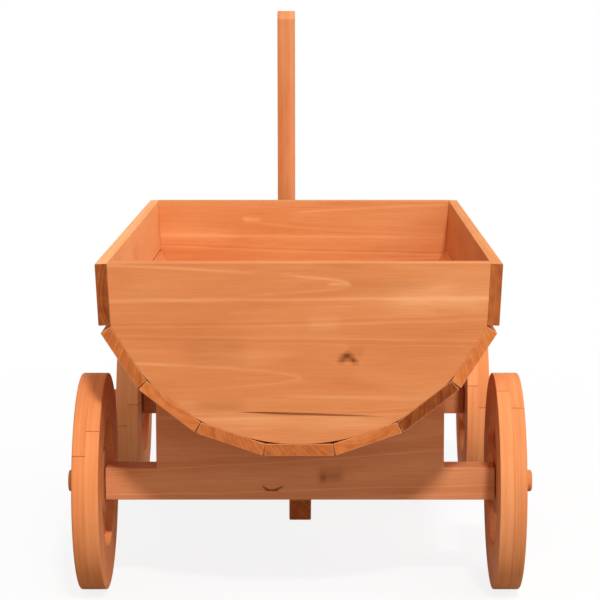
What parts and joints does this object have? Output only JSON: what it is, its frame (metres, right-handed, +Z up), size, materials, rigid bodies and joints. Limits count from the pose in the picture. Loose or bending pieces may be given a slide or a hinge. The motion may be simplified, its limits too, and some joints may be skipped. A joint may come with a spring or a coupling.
{
  "type": "garden wagon planter",
  "caption": "Small stained-wood garden wagon planter: a half-barrel trough of staves between D-shaped end panels, on axle beams with spoked wheels and a swinging pull handle.",
  "frame": {"origin": "on the ground under the middle of the wagon's box", "axes": "+Z up, +Y along the wagon towards the handle end, +X to the right seen from the rear end"},
  "size_m": [0.4288, 0.7, 0.5315],
  "materials": {
    "panel_wood": "orange-brown stained fir, satin",
    "side_wood": "orange-brown stained fir, satin",
    "stave_wood": "orange-brown stained fir, satin",
    "beam_wood": "orange-brown stained fir, satin",
    "wheel_wood": "orange-brown stained fir, satin",
    "handle_wood": "orange-brown stained fir, satin",
    "steel": "zinc plated"
  },
  "bodies": {
    "wagon": {"rear_end_panel": "panel_wood", "front_end_panel": "panel_wood", "left_side_board": "side_wood", "right_side_board": "side_wood", "rear_screws": "steel", "front_screws": "steel", "rear_bolster": "beam_wood", "front_bolster": "beam_wood", "saddle_screws": "steel", "perch": "beam_wood", "perch_screws": "steel", "pivot_bolt": "steel", "pivot_washers": "steel", "pivot_nut": "steel", "stave_left_3": "stave_wood", "stave_left_2": "stave_wood", "stave_left_1": "stave_wood", "stave_bottom": "stave_wood", "stave_right_1": "stave_wood", "stave_right_2": "stave_wood", "stave_right_3": "stave_wood", "rear_left_axle_peg": "wheel_wood", "rear_left_axle_washer": "steel", "rear_left_linchpin": "steel", "rear_right_axle_peg": "wheel_wood", "rear_right_axle_washer": "steel", "rear_right_linchpin": "steel", "front_left_axle_peg": "wheel_wood", "front_left_axle_washer": "steel", "front_left_linchpin": "steel", "front_right_axle_peg": "wheel_wood", "front_right_axle_washer": "steel", "front_right_linchpin": "steel"},
    "rear_left_wheel": {"rear_left_inner_felloes": "wheel_wood", "rear_left_outer_felloes": "wheel_wood", "rear_left_spokes": "wheel_wood", "rear_left_hub": "wheel_wood"},
    "rear_right_wheel": {"rear_right_inner_felloes": "wheel_wood", "rear_right_outer_felloes": "wheel_wood", "rear_right_spokes": "wheel_wood", "rear_right_hub": "wheel_wood"},
    "front_left_wheel": {"front_left_inner_felloes": "wheel_wood", "front_left_outer_felloes": "wheel_wood", "front_left_spokes": "wheel_wood", "front_left_hub": "wheel_wood"},
    "front_right_wheel": {"front_right_inner_felloes": "wheel_wood", "front_right_outer_felloes": "wheel_wood", "front_right_spokes": "wheel_wood", "front_right_hub": "wheel_wood"},
    "pull_handle": {"handle": "handle_wood"}
  },
  "joints": [
    {"name": "rear_left_wheel_spin", "type": "hinge", "parent": "wagon", "child": "rear_left_wheel", "pos_m": [-0.1897, -0.231, 0.1], "axis": [1, 0, 0], "continuous": true},
    {"name": "rear_right_wheel_spin", "type": "hinge", "parent": "wagon", "child": "rear_right_wheel", "pos_m": [0.1897, -0.231, 0.1], "axis": [1, 0, 0], "continuous": true},
    {"name": "front_left_wheel_spin", "type": "hinge", "parent": "wagon", "child": "front_left_wheel", "pos_m": [-0.1897, 0.205, 0.1], "axis": [1, 0, 0], "continuous": true},
    {"name": "front_right_wheel_spin", "type": "hinge", "parent": "wagon", "child": "front_right_wheel", "pos_m": [0.1897, 0.205, 0.1], "axis": [1, 0, 0], "continuous": true},
    {"name": "handle_swing", "type": "hinge", "parent": "wagon", "child": "pull_handle", "pos_m": [-0.0203, 0.33, 0.0755], "axis": [-1, 0, 0], "range_deg": [-6, 95]}
  ]
}
